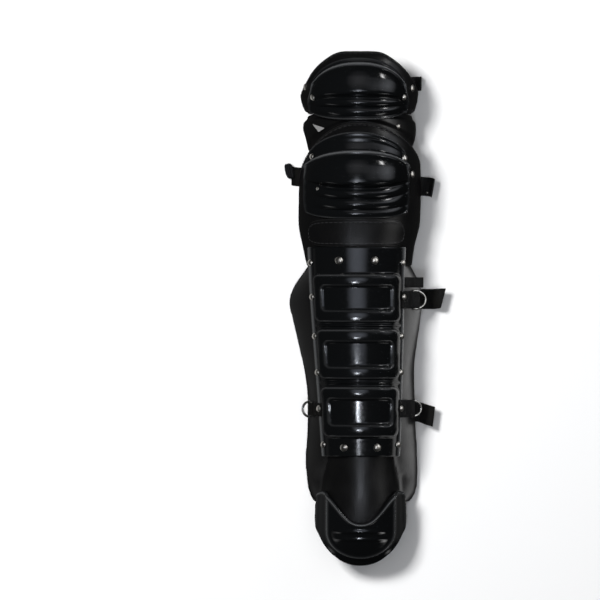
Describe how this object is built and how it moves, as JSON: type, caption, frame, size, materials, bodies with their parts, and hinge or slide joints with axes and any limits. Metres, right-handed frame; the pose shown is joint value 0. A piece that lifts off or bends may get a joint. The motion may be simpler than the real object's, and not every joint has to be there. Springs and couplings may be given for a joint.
{
  "type": "baseball catcher leg guard",
  "caption": "Catcher's leg guard: arched padding over thigh, knee, shin and foot under moulded glossy shells, with webbing straps behind the leg",
  "frame": {"origin": "on the floor, under the middle of the guard's bounding box", "axes": "+Y along the leg towards the thigh end, +Z out of the guard's front, +X to the right with the thigh end up and the front towards the viewer; the guard lies on its back on the plane z = 0"},
  "size_m": [0.2082, 0.652, 0.1302],
  "materials": {
    "shell": "glossy moulded black",
    "vinyl": "matte black grained vinyl leather",
    "webbing": "black woven webbing",
    "nickel": "nickel plated",
    "steel": "plated wire",
    "clip": "satin black"
  },
  "bodies": {
    "root": {"thigh_pad": "vinyl", "thigh_link": "vinyl", "knee_pad": "vinyl", "shin_pad": "vinyl", "ankle_pad": "vinyl", "toe_pad": "vinyl", "wing_left": "vinyl", "wing_right": "vinyl", "bridge_pad": "vinyl", "thigh_shell": "shell", "knee_shell": "shell", "shin_shell": "shell", "toe_shell": "shell", "thigh_strap": "webbing", "knee_strap": "webbing", "calf_strap": "webbing", "ankle_strap": "webbing", "calf_tab": "webbing", "calf_keeper": "webbing", "ankle_tab": "webbing", "ankle_tab_left": "webbing", "calf_ring": "steel", "ankle_ring": "steel", "ankle_ring_left": "steel", "knee_clip": "clip", "knee_strap_rivet": "nickel", "link_snap": "nickel", "rivet_thigh_right": "nickel", "rivet_thigh_left": "nickel", "rivet_thigh_pad_right": "nickel", "rivet_thigh_pad_left": "nickel", "rivet_knee_right": "nickel", "rivet_knee_left": "nickel", "rivet_knee_pad_right": "nickel", "rivet_knee_small": "nickel", "rivet_shin_top_left": "nickel", "rivet_shin_top_right": "nickel", "rivet_shin_bottom_left": "nickel", "rivet_shin_bottom_right": "nickel", "rivet_side_left_1": "nickel", "rivet_side_left_2": "nickel", "rivet_side_left_3": "nickel", "rivet_side_left_4": "nickel", "rivet_side_left_5": "nickel", "rivet_side_left_6": "nickel", "rivet_side_right_1": "nickel", "rivet_side_right_2": "nickel", "rivet_side_right_3": "nickel", "rivet_side_right_4": "nickel", "rivet_side_right_5": "nickel", "rivet_side_right_6": "nickel"}
  },
  "joints": []
}
